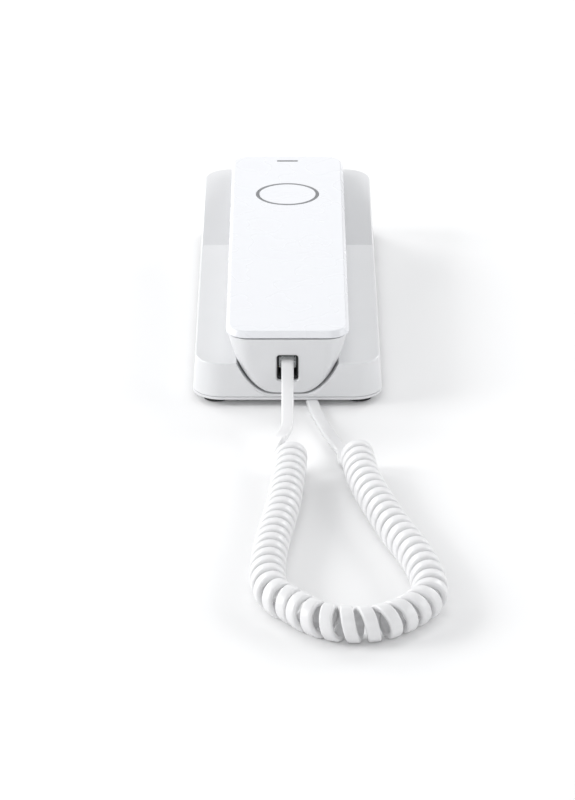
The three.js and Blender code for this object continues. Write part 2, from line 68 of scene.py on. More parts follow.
# Driving dimensions ------
BASE_LOW, BASE_HIGH = node_box("base_top_shell")
PLATE_LOW, PLATE_HIGH = node_box("base_bottom_plate")
LID_LOW, LID_HIGH = node_box("handset_lid")
BASE_WIDTH = BASE_HIGH[0] - BASE_LOW[0]
BASE_LENGTH = BASE_HIGH[1] - BASE_LOW[1]
BASE_BOTTOM, REAR_TOP = BASE_LOW[2], BASE_HIGH[2]
DECK_TOP = 18.3
CREASE_Y = 36.2  # the level deck turns up into the ramp here
BASE_CORNER = 12.3
DRAFT = 1 / 14.2  # inward lean of the base's walls per millimetre of height
PLATE_TOP = 3.9
WALL = 2.0  # of the handset's shell and of the base's

HANDSET_LENGTH = 213.0
NEAR_END = -HANDSET_LENGTH / 2
HANDSET_BOTTOM = 5.6
GRIP_BOTTOM = 15.0  # the raised middle of the underside, with the keys
GRIP_NEAR, GRIP_FAR = (-68, -52), (38, 52)  # where the underside rises to the grip and falls again
EAR_BOTTOM = 8.6
SEAM = 29.4
RIM_HALF_WIDTH, RIM_TOP = 24.4, 29.2  # half the shell's width at its rim, and the rim's height
FLAT_HALF_WIDTH = 6  # the level strip in the middle of the shell's cross-section
TURN_X = 14.5  # with FLANK, the two handles that shape the section's curve up to the rim
FLANK = (21.5, 17)
BOTTOM_CORNER = 2.0  # plan radius of the shell's corners at its bottom; it grows to the lid's at the seam
LID_TOP = 32.6
LID_WIDTH = LID_HIGH[0] - LID_LOW[0]
LID_CORNER = 9.0
LID_WALL = 2.2
BEVEL_INSET = 1.2
CRADLE_CLEARANCE = 0.5
KEY_ROOM = 0.4  # the bed lies a little deeper under the raised grip, for the keys
PIVOT = np.array([0.0, NEAR_END, HANDSET_BOTTOM])
KEY_AXIS = next(j["axis"] for j in frame["joints"] if j["name"] == "key_1_press")
TILT = math.atan2(-KEY_AXIS[1], KEY_AXIS[2])  # the handset's far end lies a little higher

RING_Y, RING_OUTER, RING_INNER = 55.6, 13.95, 12.65
RING_GAP = 0.12
LAMP_Y, LAMP_WIDTH, LAMP_LENGTH = 99.0, 9.6, 1.5
SOCKET_WIDTH, SOCKET_LOW, SOCKET_HIGH, SOCKET_CORNER = 9.0, 11.0, 22.2, 1.2
CORD_WIDTH, CORD_THICKNESS, CORD_EDGE = 5.0, 2.5, 0.95
COIL_RADIUS = 5.45  # from the curl's middle line to the cord's
COIL_HEIGHT = 6.75


# Mesh helpers --------------
def handset_pose(points):
    """Handset pieces are drawn level; this lays them as the handset lies."""
    points = np.asarray(points, float) - PIVOT
    c, s = math.cos(TILT), math.sin(TILT)
    turned = np.column_stack(
        [points[:, 0], c * points[:, 1] - s * points[:, 2], s * points[:, 1] + c * points[:, 2]]
    )
    return turned + PIVOT


def add_mesh(name, points, faces, material, smooth_angle=35.0):
    mesh = bpy.data.meshes.new(name)
    mesh.from_pydata((np.asarray(points, float) * MM).tolist(), [], [list(f) for f in faces])
    mesh.validate()
    obj = bpy.data.objects.new(name, mesh)
    bpy.context.scene.collection.objects.link(obj)
    tidy_normals(obj)
    obj.data.materials.append(material)
    shade(obj, smooth_angle)
    return obj


def tidy_normals(obj):
    work = bmesh.new()
    work.from_mesh(obj.data)
    bmesh.ops.remove_doubles(work, verts=work.verts, dist=1e-7)
    bmesh.ops.recalc_face_normals(work, faces=work.faces)
    work.to_mesh(obj.data)
    work.free()


def shade(obj, angle=35.0):
    obj.data.shade_smooth()
    obj.data.set_sharp_from_angle(angle=math.radians(angle))


def weigh_normals(obj):
    """Flat faces stay flat beside their rounded edges."""
    step = obj.modifiers.new("weigh", "WEIGHTED_NORMAL")
    step.keep_sharp = True
    apply_modifiers(obj)
    return obj


def apply_modifiers(obj):
    made = bpy.data.meshes.new_from_object(obj.evaluated_get(bpy.context.evaluated_depsgraph_get()))
    obj.modifiers.clear()
    obj.data = made


def boolean(obj, cutters, operation="DIFFERENCE"):
    """Cuts obj with each cutter, or joins them, and removes the cutters."""
    for cutter in cutters:
        step = obj.modifiers.new("cut", "BOOLEAN")
        step.operation = operation
        step.solver = "EXACT"
        step.object = cutter
    materials = list(obj.data.materials)
    apply_modifiers(obj)
    obj.data.materials.clear()
    for material in materials:
        obj.data.materials.append(material)
    faces = obj.data.polygons
    faces.foreach_set("material_index", np.zeros(len(faces), dtype=np.int32))
    for cutter in cutters:
        bpy.data.objects.remove(cutter)
    shade(obj)
    return obj


def join(name, objects):
    """Several meshes as one object, each keeping its materials."""
    bpy.ops.object.select_all(action="DESELECT")
    for obj in objects:
        obj.select_set(True)
    bpy.context.view_layer.objects.active = objects[0]
    bpy.ops.object.join()
    objects[0].name = name
    return objects[0]


def grid_faces(rows, columns, close_columns=False, close_rows=False):
    faces = []
    for r in range(rows if close_rows else rows - 1):
        for c in range(columns if close_columns else columns - 1):
            d, q = (c + 1) % columns, (r + 1) % rows
            faces.append((r * columns + c, r * columns + d, q * columns + d, q * columns + c))
    return faces


def loft(name, rings, material, smooth_angle=35.0):
    """Closed rings of equal length, joined one to the next, with flat ends."""
    count = len(rings[0])
    faces = grid_faces(len(rings), count, close_columns=True)
    faces.append(tuple(range(count))[::-1])
    faces.append(tuple((len(rings) - 1) * count + i for i in range(count)))
    return add_mesh(name, np.vstack(rings), faces, material, smooth_angle)


def rounded_rectangle(width, length, radius, arc=10, centre=(0.0, 0.0)):
    points = []
    corners = ((1, -1, -90), (1, 1, 0), (-1, 1, 90), (-1, -1, 180))
    for sx, sy, start in corners:
        for i in range(arc + 1):
            a = math.radians(start + 90 * i / arc)
            x = sx * (width / 2 - radius) + radius * math.cos(a)
            y = sy * (length / 2 - radius) + radius * math.sin(a)
            points.append((x + centre[0], y + centre[1]))
    return np.array(points)


def ring_at(outline, z):
    return np.column_stack([outline, np.full(len(outline), z)])


def standing(outline, y):
    """An outline in X and Z, stood up at y."""
    return np.column_stack([outline[:, 0], np.full(len(outline), y), outline[:, 1]])


def slab(name, width, length, corner, profile, material, arc=10, centre=(0.0, 0.0), pose=None):
    """A block with a rounded plan outline; profile lists (inset, z) from one end face to the other."""
    rings = []
    for inset, z in profile:
        outline = rounded_rectangle(
            width - 2 * inset, length - 2 * inset, max(corner - inset, 0.05), arc, centre
        )
        rings.append(ring_at(outline, z))
    if pose:
        rings = [pose(r) for r in rings]
    return loft(name, rings, material)


def lathe(name, profile, material, centre=(0.0, 0.0), segments=48, pose=None):
    """profile lists (radius, z); a zero radius closes an end, and a loop of profile closes on itself."""
    angles = np.linspace(0, 2 * math.pi, segments, endpoint=False)
    x, y = np.cos(angles), np.sin(angles)
    rings = [ring_at(np.column_stack([centre[0] + r * x, centre[1] + r * y]), z) for r, z in profile]
    if pose:
        rings = [pose(r) for r in rings]
    if profile[0] != profile[-1]:
        return loft(name, rings, material)
    faces = grid_faces(len(rings) - 1, segments, close_columns=True, close_rows=True)
    return add_mesh(name, np.vstack(rings[:-1]), faces, material)


def block(name, low, high, material, pose=None):
    x, y, z = zip(low, high)
    points = [(x[i], y[j], z[k]) for k in (0, 1) for j in (0, 1) for i in (0, 1)]
    faces = [(0, 2, 3, 1), (4, 5, 7, 6), (0, 1, 5, 4), (2, 6, 7, 3), (0, 4, 6, 2), (1, 3, 7, 5)]
    if pose:
        points = pose(points)
    return add_mesh(name, points, faces, material)


def fillet(radius, steps=5):
    """(distance from the corner plane, inset) along a quarter round, from the face inwards."""
    angles = np.linspace(0, math.pi / 2, steps + 1)
    return [(radius * (1 - math.cos(a)), radius * (1 - math.sin(a))) for a in angles]


def smooth_max(a, b, k):
    """The larger of a and b, rounded over about k where they meet."""
    return (a + b + np.sqrt((a - b) ** 2 + k * k)) / 2


def bezier(points, t):
    t = np.asarray(t, float)[..., None]
    a, b, c, d = (np.array(p, float) for p in points)
    return (1 - t) ** 3 * a + 3 * (1 - t) ** 2 * t * b + 3 * (1 - t) * t**2 * c + t**3 * d


def ease(t):
    """Zero to one with level ends."""
    t = np.clip(t, 0, 1)
    return t * t * (3 - 2 * t)


# Materials -----------------
NOISE_LOW, NOISE_HIGH = 0.3, 0.7  # nearly all of a noise lies between these
GRAIN_DEPTH = 0.00006  # metres


def new_material(name):
    material = bpy.data.materials.new(name)
    material.use_nodes = True
    nodes = material.node_tree.nodes
    return material, nodes, material.node_tree.links, nodes["Principled BSDF"]


def add_noise(nodes, links, scale, detail=3.0, stretch=(1.0, 1.0, 1.0)):
    coordinates = nodes.new("ShaderNodeTexCoord")
    mapping = nodes.new("ShaderNodeMapping")
    mapping.inputs["Scale"].default_value = stretch
    noise = nodes.new("ShaderNodeTexNoise")
    noise.inputs["Scale"].default_value = scale
    noise.inputs["Detail"].default_value = detail
    links.new(coordinates.outputs["Object"], mapping.inputs["Vector"])
    links.new(mapping.outputs["Vector"], noise.inputs["Vector"])
    return noise


def add_range(nodes, links, source, low, high):
    remap = nodes.new("ShaderNodeMapRange")
    remap.inputs["From Min"].default_value = NOISE_LOW
    remap.inputs["From Max"].default_value = NOISE_HIGH
    remap.inputs["To Min"].default_value = low
    remap.inputs["To Max"].default_value = high
    links.new(source, remap.inputs["Value"])
    return remap.outputs["Result"]


def add_tint(nodes, links, source, dark, light):
    ramp = nodes.new("ShaderNodeValToRGB")
    ramp.color_ramp.elements[0].position = NOISE_LOW
    ramp.color_ramp.elements[0].color = (*dark, 1)
    ramp.color_ramp.elements[1].position = NOISE_HIGH
    ramp.color_ramp.elements[1].color = (*light, 1)
    links.new(source, ramp.inputs["Fac"])
    return ramp.outputs["Color"]


def add_bump(nodes, links, source, strength, distance, surface):
    """distance is in metres."""
    bump = nodes.new("ShaderNodeBump")
    bump.inputs["Strength"].default_value = strength
    bump.inputs["Distance"].default_value = distance
    links.new(source, bump.inputs["Height"])
    links.new(bump.outputs["Normal"], surface.inputs["Normal"])


def moulded(name, colour, roughness, grain=0.05, grain_scale=2600, spread=0.02, coat=0.0):
    """Moulded plastic or rubber: faint clouds in its colour, uneven gloss and a fine mould grain."""
    material, nodes, links, surface = new_material(name)
    clouds = add_noise(nodes, links, 35.0)
    lighter = tuple(min(1.0, c * (1 + spread)) for c in colour)
    darker = tuple(c * (1 - spread) for c in colour)
    links.new(add_tint(nodes, links, clouds.outputs["Fac"], darker, lighter), surface.inputs["Base Color"])
    gloss = add_noise(nodes, links, 60.0, 1.0)
    uneven = add_range(nodes, links, gloss.outputs["Fac"], roughness * 0.95, roughness * 1.06)
    links.new(uneven, surface.inputs["Roughness"])
    texture = add_noise(nodes, links, grain_scale, 0.0)
    add_bump(nodes, links, texture.outputs["Fac"], grain, GRAIN_DEPTH, surface)
    surface.inputs["Coat Weight"].default_value = coat
    surface.inputs["Coat Roughness"].default_value = 0.12
    return material


def clear_plastic(name):
    """Clear moulded plastic with faint flow streaks."""
    material, nodes, links, surface = new_material(name)
    streaks = add_noise(nodes, links, 300.0, 3.0)
    links.new(
        add_tint(nodes, links, streaks.outputs["Fac"], (0.80, 0.85, 0.87), (0.92, 0.95, 0.96)),
        surface.inputs["Base Color"],
    )
    links.new(add_range(nodes, links, streaks.outputs["Fac"], 0.08, 0.16), surface.inputs["Roughness"])
    surface.inputs["Transmission Weight"].default_value = 0.75
    surface.inputs["IOR"].default_value = 1.58
    return material


def brushed(name, colour, roughness, stretch):
    """Metal with fine drawn lines."""
    material, nodes, links, surface = new_material(name)
    streaks = add_noise(nodes, links, 400.0, 4.0, stretch)
    darker = tuple(c * 0.8 for c in colour)
    links.new(add_tint(nodes, links, streaks.outputs["Fac"], darker, colour), surface.inputs["Base Color"])
    links.new(
        add_range(nodes, links, streaks.outputs["Fac"], roughness * 0.8, roughness * 1.3),
        surface.inputs["Roughness"],
    )
    add_bump(nodes, links, streaks.outputs["Fac"], 0.15, 0.00005, surface)
    surface.inputs["Metallic"].default_value = 1.0
    return material


def circuit_board(name):
    """Green solder mask with paler copper tracks under it."""
    material, nodes, links, surface = new_material(name)
    coordinates = nodes.new("ShaderNodeTexCoord")
    tracks = nodes.new("ShaderNodeTexBrick")
    tracks.inputs["Scale"].default_value = 90.0
    tracks.inputs["Mortar Size"].default_value = 0.012
    tracks.inputs["Color1"].default_value = (0.010, 0.120, 0.050, 1)
    tracks.inputs["Color2"].default_value = (0.014, 0.150, 0.062, 1)
    tracks.inputs["Mortar"].default_value = (0.060, 0.260, 0.110, 1)
    links.new(coordinates.outputs["Object"], tracks.inputs["Vector"])
    links.new(tracks.outputs["Color"], surface.inputs["Base Color"])
    gloss = add_noise(nodes, links, 200.0)
    links.new(add_range(nodes, links, gloss.outputs["Fac"], 0.25, 0.45), surface.inputs["Roughness"])
    add_bump(nodes, links, tracks.outputs["Fac"], 0.3, 0.00003, surface)
    return material


CASING = moulded("casing_white", (0.71, 0.715, 0.725), 0.30, grain=0.016, grain_scale=900, spread=0.01)
LID = moulded("lid_white", (0.765, 0.775, 0.80), 0.27, grain=0.005, grain_scale=900, spread=0.002)
KEYS = moulded("key_white", (0.70, 0.705, 0.715), 0.42, grain=0.12)
LEGEND = moulded("legend_grey", (0.09, 0.095, 0.10), 0.5)
RING = moulded("ring_grey", (0.17, 0.175, 0.185), 0.38)
LAMP = moulded("lamp_smoked", (0.10, 0.105, 0.115), 0.2, coat=0.4)
CORD = moulded("cord_vinyl", (0.77, 0.77, 0.775), 0.32, grain=0.05, grain_scale=3200)
RUBBER = moulded("foot_rubber", (0.028, 0.028, 0.03), 0.75, grain=0.5, grain_scale=1500, spread=0.12)
SILICONE = moulded("silicone_grey", (0.42, 0.43, 0.44), 0.6, grain=0.2)
DARK = moulded("dark_plastic", (0.022, 0.022, 0.024), 0.45, grain=0.2)
JACK = moulded("jack_grey", (0.05, 0.052, 0.055), 0.4, grain=0.15)
CLEAR = clear_plastic("plug_clear")
STEEL = brushed("zinc_steel", (0.56, 0.57, 0.60), 0.35, (1.0, 1.0, 6.0))
GOLD = brushed("contact_gold", (0.83, 0.60, 0.25), 0.25, (1.0, 6.0, 1.0))
BOARD = circuit_board("board_green")


# Camera, light and floor ------
# In metres.
CAMERA_PLACE = Vector((0.0, -1.6286, 0.6267))
CAMERA_PITCH = math.radians(22.3)
LENS, SENSOR = 180.0, 36.0


def make_camera():
    data = bpy.data.cameras.new("camera")
    data.lens = LENS
    data.sensor_width = SENSOR
    data.clip_end = 50.0
    camera = bpy.data.objects.new("camera", data)
    camera.location = CAMERA_PLACE
    camera.rotation_euler = (math.pi / 2 - CAMERA_PITCH, 0, 0)
    bpy.context.scene.collection.objects.link(camera)
    bpy.context.scene.camera = camera


# Name, place, the point it faces, width and height, watts; metres.
LIGHTS = [
    ("left_soft", (-2.0, -0.2, 0.95), (0, -0.05, 0), (1.2, 1.0), 26.0),
    ("back_left", (-1.5, 1.6, 1.05), (0, 0, 0), (1.2, 0.9), 20.0),
    ("back_right", (1.5, 1.6, 1.05), (0, 0, 0), (1.2, 0.9), 17.0),
    ("right_soft", (2.0, -0.1, 0.95), (0, 0, 0), (1.2, 1.0), 11.0),
    ("back_glow", (-0.2, 2.4, 0.98), (0, 0, 0), (2.0, 0.9), 4.5),
    ("front_soft", (0.0, -2.5, 0.9), (0, -0.1, 0), (2.6, 1.0), 16.0),
    ("overhead", (-0.1, 0.1, 2.1), (0, 0, 0), (1.4, 0.8), 6.0),
]
SKY_STRENGTH = 0.45
FLOOR_HALF = 6000.0  # mm


def area_light(name, place, target, size, power):
    data = bpy.data.lights.new(name, "AREA")
    data.shape = "RECTANGLE"
    data.size, data.size_y = size
    data.energy = power
    light = bpy.data.objects.new(name, data)
    light.location = place
    aim = Vector(target) - Vector(place)
    light.rotation_euler = aim.to_track_quat("-Z", "Y").to_euler()
    bpy.context.scene.collection.objects.link(light)


def make_stage():
    material, nodes, links, surface = new_material("table_white")
    clouds = add_noise(nodes, links, 3.0)
    links.new(
        add_tint(nodes, links, clouds.outputs["Fac"], (0.89, 0.89, 0.89), (0.905, 0.905, 0.905)),
        surface.inputs["Base Color"],
    )
    surface.inputs["Roughness"].default_value = 0.6
    surface.inputs["Specular IOR Level"].default_value = 0.2
    half = FLOOR_HALF
    corners = [(x * half, y * half, 0) for x, y in ((-1, -1), (1, -1), (1, 1), (-1, 1))]
    floor = add_mesh("floor", corners, [(0, 1, 2, 3)], material)
    world = bpy.data.worlds.new("studio")
    world.use_nodes = True
    sky = world.node_tree.nodes["Background"]
    sky.inputs["Color"].default_value = (0.97, 0.98, 1.0, 1)
    sky.inputs["Strength"].default_value = SKY_STRENGTH
    bpy.context.scene.world = world
    for light in LIGHTS:
        area_light(*light)
    bpy.context.scene.view_settings.view_transform = "Standard"


make_camera()
make_stage()


# Cord ----------------------
# The route of the cord's middle line: down from the handset's socket to the table, the curl's middle
# line in plan, and back under the base and up into its socket.
HANDSET_LEAD = [
    (0, -102, 19.0), (0, -107.5, 18.9), (0, -114, 18.6), (0, -122, 17.3), (0, -131, 15.4),
    (0, -140, 13.8), (0, -148, 12.9), (0, -155, 12.3), (-0.7, -161, 11.9), (-2.2, -166, 11.3),
]
COIL_ROUTE = [
    (1, -172.5), (1, -182), (-1.5, -221), (-5.8, -258), (-7.4, -285), (-5.7, -301), (-2, -309),
    (2.4, -314), (7.4, -321), (13, -326), (20.3, -329), (28.2, -329), (36.2, -326), (46, -316),
    (52, -302.5), (49.2, -276), (39.3, -240), (30.5, -201.5), (27.3, -172.5),
]
BASE_LEAD = [
    (21.7, -157, 1.3), (18.6, -146, 1.3), (15.6, -134, 1.3), (13, -122, 1.3), (10.8, -110, 1.3),
    (9.2, -98, 1.3), (8.3, -84, 1.3), (8, -70, 1.3), (8, -61, 1.3), (8, -55, 1.3), (8, -51.5, 1.4),
    (8, -48, 2.3), (8, -44.5, 3.8), (8, -41, 5.6), (8, -38, 6.9), (8, -33, 7.5), (8, -26, 7.5),
    (8, -23.5, 7.5),
]
# Turns of the curl counted along its middle line (mm, turns): it is tight, and opens round the bend.
TURN_COUNT = [(0, 0), (107.9, 16.05), (143.8, 21.05), (205.3, 30.05), (236.5, 34.05), (347.4, 50.37)]
TURNS = TURN_COUNT[-1][1]
PER_TURN = 36
CURL_START = math.radians(150)
TURN_BLUR = 60  # samples either side over which a change of spacing is spread
LEAD_STEPS, TAIL_STEPS, ENTRY_STEPS, LEAVE_STEPS = 60, 110, 14, 22
ENTRY_REACH, LEAVE_REACH = 3.0, 6.0


def through(points, samples):
    """A Catmull-Rom curve through points, evenly stepped."""
    points = np.array(points, float)
    ends = np.vstack([2 * points[0] - points[1], points, 2 * points[-1] - points[-2]])
    dense = []
    for i in range(1, len(ends) - 2):
        a, b, c, d = ends[i - 1 : i + 3]
        for t in np.linspace(0, 1, 24, endpoint=False):
            square, cube = 2 * a - 5 * b + 4 * c - d, 3 * b - a - 3 * c + d
            dense.append(0.5 * (2 * b + (c - a) * t + square * t**2 + cube * t**3))
    dense.append(points[-1])
    return evenly(np.array(dense), samples)


def evenly(line, samples):
    length = np.concatenate([[0], np.cumsum(np.linalg.norm(np.diff(line, axis=0), axis=1))])
    at = np.linspace(0, length[-1], samples)
    return np.column_stack([np.interp(at, length, line[:, k]) for k in range(line.shape[1])])


def bridge(p, p_direction, q, q_direction, reach, samples):
    """A smooth link from p to q, leaving and arriving along the two directions."""
    a, b = p + reach * p_direction, q - reach * q_direction
    return bezier([p, a, b, q], np.linspace(0, 1, samples))


def unit(v):
    return v / np.linalg.norm(v, axis=-1, keepdims=True)


def cord_line():
    """The cord's middle line and the outward side of its flat face, from one plug to the other."""
    middle = through([(x, y, COIL_HEIGHT) for x, y in COIL_ROUTE], int(TURNS * PER_TURN))
    forward = unit(np.gradient(middle, axis=0))
    up = np.array([0.0, 0.0, 1.0])
    side = unit(np.cross(up, forward))
    along = np.linspace(0, TURN_COUNT[-1][0], len(middle))
    counted = np.interp(along, *zip(*TURN_COUNT))
    padded = np.pad(counted, TURN_BLUR, mode="reflect", reflect_type="odd")
    window = 2 * TURN_BLUR + 1
    counted = np.convolve(padded, np.ones(window) / window, "valid")
    angle = (CURL_START + 2 * math.pi * counted)[:, None]
    outward = np.cos(angle) * side + np.sin(angle) * up
    coil = middle + COIL_RADIUS * outward
    lead = through(HANDSET_LEAD, LEAD_STEPS)
    tail = through(BASE_LEAD, TAIL_STEPS)
    step_in, step_out = unit(coil[1] - coil[0]), unit(coil[-1] - coil[-2])
    entry = bridge(lead[-1], unit(lead[-1] - lead[-2]), coil[0], step_in, ENTRY_REACH, ENTRY_STEPS)
    leave = bridge(coil[-1], step_out, tail[0], unit(tail[1] - tail[0]), LEAVE_REACH, LEAVE_STEPS)
    line = np.vstack([lead, entry[1:-1], coil, leave[1:-1], tail])
    faces = np.vstack(
        [
            np.tile(up, (len(lead), 1)),
            blend_rows(up, outward[0], len(entry) - 2),
            outward,
            blend_rows(outward[-1], -up, len(leave) - 2),
            np.tile(-up, (len(tail), 1)),
        ]
    )
    return line, faces


def blend_rows(a, b, rows):
    """Directions that turn from a to b, without either."""
    t = ease(np.linspace(0, 1, rows + 2)[1:-1])[:, None]
    return (1 - t) * a + t * b


def make_cord():
    line, out = cord_line()
    forward = unit(np.gradient(line, axis=0))
    out = unit(out - np.sum(out * forward, axis=1, keepdims=True) * forward)
    across = np.cross(forward, out)
    section = rounded_rectangle(CORD_WIDTH, CORD_THICKNESS, CORD_EDGE, 4)
    rings = [p + section[:, :1] * a + section[:, 1:] * o for p, a, o in zip(line, across, out)]
    cord = loft("curly_cord", rings, CORD, smooth_angle=60.0)
    length = float(np.linalg.norm(np.diff(line, axis=0), axis=1).sum())
    exit_point = line[np.argmin(np.abs(line[:LEAD_STEPS, 1] - NEAR_END))]
    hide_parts("cord_handset_lead", "cord_coil", "cord_base_lead")
    return cord, line, length, exit_point


CORD_PIECE, CORD_LINE, CORD_LENGTH, CORD_EXIT = make_cord()


# Handset lower shell -------
def shell_section(grow, rim, steps=26):
    """Half the shell's cross-section, from its flat bottom up to the rim, as (half width, height)."""
    curve = bezier(
        [
            (FLAT_HALF_WIDTH, HANDSET_BOTTOM - grow),
            (TURN_X + 0.7 * grow, HANDSET_BOTTOM - grow),
            (FLANK[0] + grow, FLANK[1] - 0.3 * grow),
            (RIM_HALF_WIDTH + grow, RIM_TOP),
        ],
        np.linspace(0, 1, steps),
    )
    flat = np.array([(x, HANDSET_BOTTOM - grow) for x in (0.0, 2.0, 4.0)])
    kept = curve[curve[:, 1] < rim - 0.35]
    edge = np.interp(rim, curve[:, 1], curve[:, 0]) if rim <= curve[-1, 1] else curve[-1, 0]
    return np.vstack([flat, kept, [(edge, rim)]])


def underside(y, grow):
    """The shell's lowest height at y: a flat mouth end, a raised grip and a flat ear end."""
    y = np.asarray(y, float)
    near = smooth_step_curve(y, GRIP_NEAR[0] + grow, GRIP_NEAR[1] + grow, HANDSET_BOTTOM, GRIP_BOTTOM)
    far = smooth_step_curve(y, GRIP_FAR[0] - grow, GRIP_FAR[1] - grow, GRIP_BOTTOM, EAR_BOTTOM)
    return np.where(y < -20, near, far) - grow


def smooth_step_curve(y, start, end, low, high):
    """An S-curve from low to high whose two handles meet halfway between start and end."""
    middle = (start + end) / 2
    t = np.linspace(0, 1, 60)
    curve = bezier([(start, low), (middle, low), (middle, high), (end, high)], t)
    return np.interp(y, curve[:, 0], curve[:, 1])


END_FADE = 6  # over this distance the ends' rounding fades towards the middle and the rim
GRIP_ROUNDING = 0.8  # where the grip's level face meets the section's curve


def shell_surface(grow, rim, ys, end_inset):
    """Rows of points across the shell at each y, from the left rim under the shell to the right rim."""
    half = shell_section(grow, rim)
    rise = np.clip((half[:, 1] - HANDSET_BOTTOM) / (SEAM - HANDSET_BOTTOM), 0, 1)
    radius = BOTTOM_CORNER + (LID_CORNER - BOTTOM_CORNER) * rise + grow
    rows = []
    for y, inset in zip(ys, end_inset):
        low = float(underside(y, grow))
        distance = max(min(y - (NEAR_END - grow), (HANDSET_LENGTH / 2 + grow) - y), 0.0)
        across = np.clip(radius - distance, 0, None)
        corner = radius - np.sqrt(radius**2 - across**2)
        x = np.clip(half[:, 0] - corner * np.clip(half[:, 0] / END_FADE, 0, 1) - inset, 0, None)
        z = smooth_max(half[:, 1], low, GRIP_ROUNDING)
        z = z - GRIP_ROUNDING / 2 * np.exp(-np.abs(half[:, 1] - low))
        z = np.maximum(z, low)
        z = z + inset * np.clip((rim - z) / END_FADE, 0, 1)
        z[-1] = rim
        right = np.column_stack([x, np.full_like(x, y), z])
        left = right[:0:-1] * np.array([-1, 1, 1])
        rows.append(np.vstack([left, right]))
    return rows


CORNER_REACH = 9.2  # stations are close together over the corners


def end_stations(grow, edge):
    """Places along the handset, close together at its ends and bends, with the end edge's inset."""
    near, far = NEAR_END - grow, HANDSET_LENGTH / 2 + grow
    rounding = fillet(edge)
    turn = np.linspace(0.2, math.pi / 2, 14)
    corner = [edge + (CORNER_REACH + grow - edge) * (1 - math.cos(a)) for a in turn]
    body = list(np.arange(NEAR_END + 12, -70, 3.0)) + list(np.arange(-69, -49, 0.7))
    body += list(np.arange(-48, 37, 5.0)) + list(np.arange(37, 54, 0.7))
    body += list(np.arange(55, HANDSET_LENGTH / 2 - 12, 4.0))
    ys = [near + d for d, _ in rounding] + [near + c for c in corner] + body
    ys += [far - c for c in reversed(corner)] + [far - d for d, _ in reversed(rounding)]
    insets = [i for _, i in rounding] + [0.0] * (len(corner) * 2 + len(body))
    insets += [i for _, i in reversed(rounding)]
    return ys, insets


def rows_to_solid(name, rows):
    """A closed body from rows of points that run from rim to rim: its two ends and its top are added."""
    columns = len(rows[0])
    faces = grid_faces(len(rows), columns)
    faces.append(tuple(range(columns)))
    faces.append(tuple((len(rows) - 1) * columns + i for i in range(columns))[::-1])
    faces.append(
        tuple(r * columns for r in range(len(rows)))
        + tuple(r * columns + columns - 1 for r in reversed(range(len(rows))))
    )
    return add_mesh(name, handset_pose(np.vstack(rows)), faces, CASING)


def make_hull():
    rim = SEAM - 0.15
    ys, insets = end_stations(0.0, 0.5)
    solid = rows_to_solid("handset_hull", shell_surface(0.0, rim, ys, insets))
    ys, insets = end_stations(-WALL, 0.3)
    hollow = rows_to_solid("hull_hollow", shell_surface(-WALL, rim + 1.0, ys, insets))
    floors = [(y, HANDSET_BOTTOM if y < 0 else EAR_BOTTOM) for y in HANDSET_SCREWS]
    bosses = [rod("boss", (0, y), SCREW_BOSS, z - 1, z + 4.0) for y, z in floors]
    boolean(hollow, bosses)
    recesses = [rod("recess", (0, y), SCREW_HEAD, z - 3, z + 1.7) for y, z in floors]
    recesses += [rod("hole", (0, y), SCREW_HOLE, z, z + 9) for y, z in floors]
    return boolean(solid, [hollow] + hull_openings() + recesses)


def rod(name, centre, radius, low, high, pose=handset_pose):
    return lathe(name, [(radius, low), (radius, high)], CASING, centre, 32, pose)


def key_hole(centre, width, length):
    """A cutter through the grip's face; it is flared at the face, and wider outside it."""
    flare, outside = 0.25, 2.25
    profile = [(-outside, 12.0), (-outside, GRIP_BOTTOM - 2.0), (-flare, GRIP_BOTTOM)]
    profile += [(0.0, GRIP_BOTTOM + flare), (0.0, 19.0)]
    width, length = width + 2 * KEY_GAP, length + 2 * KEY_GAP
    return slab("cutter", width, length, KEY_CORNER, profile, CASING, 6, centre, handset_pose)


HANDSET_SCREWS = (-72.0, 94.5)
SCREW_BOSS, SCREW_HEAD, SCREW_HOLE = 4.0, 2.7, 1.35
SPEAKER_Y, MICROPHONE_Y = 80.0, -82.0
SPEAKER_RINGS = ((0.0, 1), (3.0, 6), (6.0, 12))  # radius and number of the holes
KEY_SIZE = (8.6, 6.4)
FUNCTION_SIZE = (13.0, 5.4)
KEY_CORNER, KEY_GAP = 1.6, 0.3
KEY_PLACES = {
    "1": (11.5, 13), "2": (0, 13), "3": (-11.5, 13),
    "4": (11.5, 2), "5": (0, 2), "6": (-11.5, 2),
    "7": (11.5, -9), "8": (0, -9), "9": (-11.5, -9),
    "star": (11.5, -20), "0": (0, -20), "hash": (-11.5, -20),
    "redial": (8.6, 25), "flash": (-8.6, 25), "memory": (8.6, -31.5), "mute": (-8.6, -31.5),
}


def key_size(name):
    number = len(name) == 1 or name in ("star", "hash")
    return KEY_SIZE if number else FUNCTION_SIZE


def hull_openings():
    cutters = [key_hole(centre, *key_size(name)) for name, centre in KEY_PLACES.items()]
    for radius, count in SPEAKER_RINGS:
        for i in range(count):
            a = 2 * math.pi * i / count
            place = (radius * math.cos(a), SPEAKER_Y + radius * math.sin(a))
            cutters.append(sound_hole(place, EAR_BOTTOM))
    cutters.append(sound_hole((0, MICROPHONE_Y), HANDSET_BOTTOM))
    width, height = SOCKET_WIDTH, SOCKET_HIGH - SOCKET_LOW
    middle = (0, (SOCKET_LOW + SOCKET_HIGH) / 2)
    rings = []
    for y, grow in ((-110, 0.5), (NEAR_END, 0.5), (NEAR_END + 0.5, 0.0), (-100, 0.0)):
        outline = rounded_rectangle(width + 2 * grow, height + 2 * grow, SOCKET_CORNER + grow, 6, middle)
        rings.append(handset_pose(standing(outline, y)))
    cutters.append(loft("cutter", rings, CASING))
    return cutters


